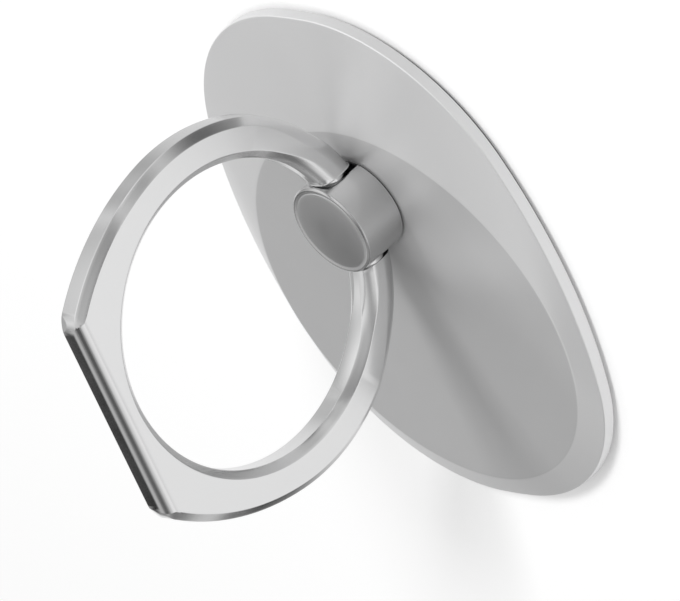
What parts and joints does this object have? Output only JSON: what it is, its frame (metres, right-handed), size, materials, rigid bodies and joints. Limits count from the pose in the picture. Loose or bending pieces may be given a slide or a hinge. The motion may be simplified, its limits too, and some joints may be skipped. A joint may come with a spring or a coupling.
{
  "type": "phone ring holder",
  "caption": "Folding finger ring on a swivel hub, carried by a flat oval plate with an adhesive back; a grip and stand for a phone.",
  "frame": {"origin": "on the swivel hub's axis, at the adhesive face", "axes": "+Z out of the plate along the hub's axis; X along the ring's hinge pin, with the plate's longer side towards -X; -Y is the ring's front, the side with the large round on its straight end"},
  "size_m": [0.04, 0.0324, 0.028],
  "materials": {
    "satin_metal": "satin",
    "inner_steel": "plain",
    "adhesive_foam": "matte",
    "black_nylon": "matte"
  },
  "bodies": {
    "base": {"base_plate": "satin_metal", "adhesive_pad": "adhesive_foam"},
    "swivel": {"swivel_hub": "satin_metal", "slip_washer": "black_nylon", "cone_spring_washer": "inner_steel", "retaining_disc": "inner_steel", "saddle_spring": "inner_steel", "friction_saddle": "black_nylon"},
    "ring": {"finger_ring": "satin_metal"}
  },
  "joints": [
    {"name": "hub_swivel", "type": "hinge", "parent": "base", "child": "swivel", "pos_m": [0, 0, 0], "axis": [0, 0, 1], "continuous": true},
    {"name": "ring_hinge", "type": "hinge", "parent": "swivel", "child": "ring", "pos_m": [0, 0, 0.00396], "axis": [1, 0, 0], "range_deg": [-91, 91]}
  ]
}
